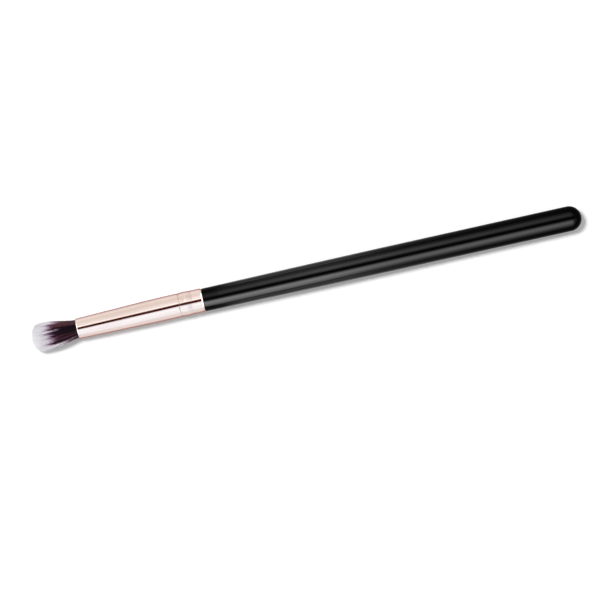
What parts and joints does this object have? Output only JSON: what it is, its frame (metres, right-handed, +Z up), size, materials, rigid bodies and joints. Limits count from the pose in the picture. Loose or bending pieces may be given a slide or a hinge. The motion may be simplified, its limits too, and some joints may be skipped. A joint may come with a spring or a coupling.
{
  "type": "eyeshadow brush",
  "caption": "Slim makeup brush with a domed two-tone fibre tuft, a tapered crimped metal ferrule and a straight black lacquered handle with a round tail.",
  "frame": {"origin": "bottom centre of the bounding box, on the table under the middle of the brush", "axes": "+X runs along the brush from the tuft to the tail, +Z points up from the table the brush lies on"},
  "size_m": [0.175, 0.009, 0.0078],
  "materials": {
    "black_lacquer": "gloss",
    "rose_gold_metal": "polished",
    "clear_glue": "satin",
    "dark_fibre": "satin",
    "cotton_thread": "matte",
    "amber_resin": "gloss",
    "pale_fibre": "satin"
  },
  "bodies": {
    "brush": {"handle": "black_lacquer", "ferrule": "rose_gold_metal", "handle_glue": "clear_glue", "held_fibres": "dark_fibre", "binding_thread": "cotton_thread", "resin_plug": "amber_resin"},
    "tuft": {"free_fibres": "pale_fibre"}
  },
  "joints": [
    {"name": "tuft_bend", "type": "hinge", "parent": "brush", "child": "tuft", "pos_m": [-0.0761, 0, 0.00392], "axis": [0, 0, 1], "range_deg": [-25, 25], "stiffness_Nm_per_rad": 0.0024}
  ]
}
